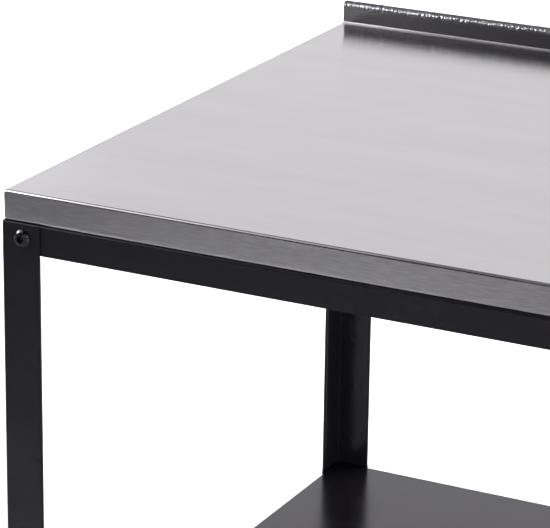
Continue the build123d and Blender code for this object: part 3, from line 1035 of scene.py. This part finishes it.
# A bright floor behind, and two patches of floor that the front faces mirror
add_floor_light("rear_floor_light", (-1.0, 3.2, 3.2), (6.0, 4.0), 5.8, 100)
add_floor_light("side_floor_light", (-0.93, -1.4, 1.8), (1.2, 0.5), 2.1, 45)
add_floor_light("front_floor_light", (-1.16, -2.75, 1.2), (0.4, 0.4), 4.1, 85)
# Wide lights for the floor around and beyond, so that it is pale from every side
wide_spread = 80
add_floor_light("right_floor_light", (2.7, -1.5, 2.5), (3.2, 6.0), 2.0, wide_spread)
add_floor_light("far_floor_light", (-0.5, -7.2, 3.0), (9.0, 3.0), 1.6, wide_spread)
add_floor_light("left_floor_light", (-5.8, -1.5, 2.5), (3.0, 6.0), 1.3, wide_spread)
outer_radiance = 1.7
add_floor_light("outer_right_floor_light", (10.0, 0.0, 3.5), (9.0, 30.0), outer_radiance, wide_spread)
add_floor_light("outer_left_floor_light", (-11.5, 0.0, 3.5), (7.0, 30.0), outer_radiance, wide_spread)
add_floor_light("outer_rear_floor_light", (-1.2, 10.2, 3.5), (13.4, 8.5), outer_radiance, wide_spread)
add_floor_light("outer_front_floor_light", (-1.2, -11.9, 3.5), (13.4, 5.6), outer_radiance, wide_spread)


def room_patch(tree, *edges):
    """Brightness of one patch of the room: a product of soft edges.

    Each edge is (value, start, end, low, high): a smooth change from low to high while the value goes from
    start to end.
    """
    brightness = 1.0
    for value, start, end, low, high in edges:
        edge = add_node(tree, "ShaderNodeMapRange", {
            "Value": value, "From Min": start, "From Max": end, "To Min": low, "To Max": high},
            interpolation_type="SMOOTHSTEP")
        factors = {0: brightness, 1: edge.outputs["Result"]}
        brightness = add_node(tree, "ShaderNodeMath", factors, operation="MULTIPLY").outputs["Value"]
    return brightness


def studio_world():
    """Room round the island: a white backdrop behind it, a dim ceiling at the left, a dim wall in front.

    Pale walls and an overhead panel show in reflections alone, so that steel looks like steel from every
    side. The camera sees plain pale grey.
    """
    faint_glow = 0.015
    world = bpy.data.worlds.new("studio")
    world.use_nodes = True
    tree = world.node_tree
    tree.nodes.clear()
    direction = add_node(tree, "ShaderNodeTexCoord").outputs["Generated"]
    parts = add_node(tree, "ShaderNodeSeparateXYZ", {"Vector": direction})
    x, y, z = (parts.outputs[name] for name in "XYZ")
    rays = add_node(tree, "ShaderNodeLightPath")
    seen = rays.outputs["Is Camera Ray"]
    mirrored = rays.outputs["Is Glossy Ray"]
    only_mirrored = (mirrored, 0.0, 1.0, 0.0, 1.0)
    backdrop = room_patch(tree, (y, 0.1, 0.5, 0.0, 1.0), (z, 0.45, 0.62, 1.0, 0.0),
                          (z, 0.255, 0.3, 0.905, 0.83), (x, -0.51, -0.475, 1.12, 1.0),
                          (mirrored, 0.0, 1.0, 0.35, 1.0))
    ceiling = room_patch(tree, (z, 0.5, 0.7, 0.0, 0.18), (x, -0.25, 0.0, 1.0, 0.1))
    front_wall = room_patch(tree, (y, -0.5, -0.2, 0.25, 0.0), (z, 0.05, 0.15, 1.0, 0.0),
                            (x, -0.3, -0.1, 1.0, 0.0))
    wall_edges = ((z, 0.0, 0.12, 0.0, 0.42), (z, 0.5, 0.7, 1.0, 0.0), (y, -0.1, 0.2, 1.0, 0.0), only_mirrored)
    left_wall = room_patch(tree, *wall_edges, (x, -0.75, -0.6, 1.0, 0.0))
    right_wall = room_patch(tree, *wall_edges, (x, -0.22, 0.0, 0.0, 1.0))
    panel = room_patch(tree, (z, 0.93, 0.97, 0.0, 0.6), only_mirrored)
    strength = faint_glow
    for patch in (backdrop, ceiling, left_wall, right_wall, panel, front_wall):
        strength = add_node(tree, "ShaderNodeMath", {0: strength, 1: patch}, operation="ADD").outputs["Value"]
    room = add_node(tree, "ShaderNodeBackground", {"Color": linear_colour("#FFFFFF"), "Strength": strength})
    plain = add_node(tree, "ShaderNodeBackground", {"Color": linear_colour("#F2F2F2"), "Strength": 1.0})
    mixed = add_node(tree, "ShaderNodeMixShader", {"Fac": seen, 1: room.outputs[0], 2: plain.outputs[0]})
    add_node(tree, "ShaderNodeOutputWorld", {"Surface": mixed.outputs[0]})
    bpy.context.scene.world = world


studio_world()
bpy.context.scene.view_settings.view_transform = "Standard"
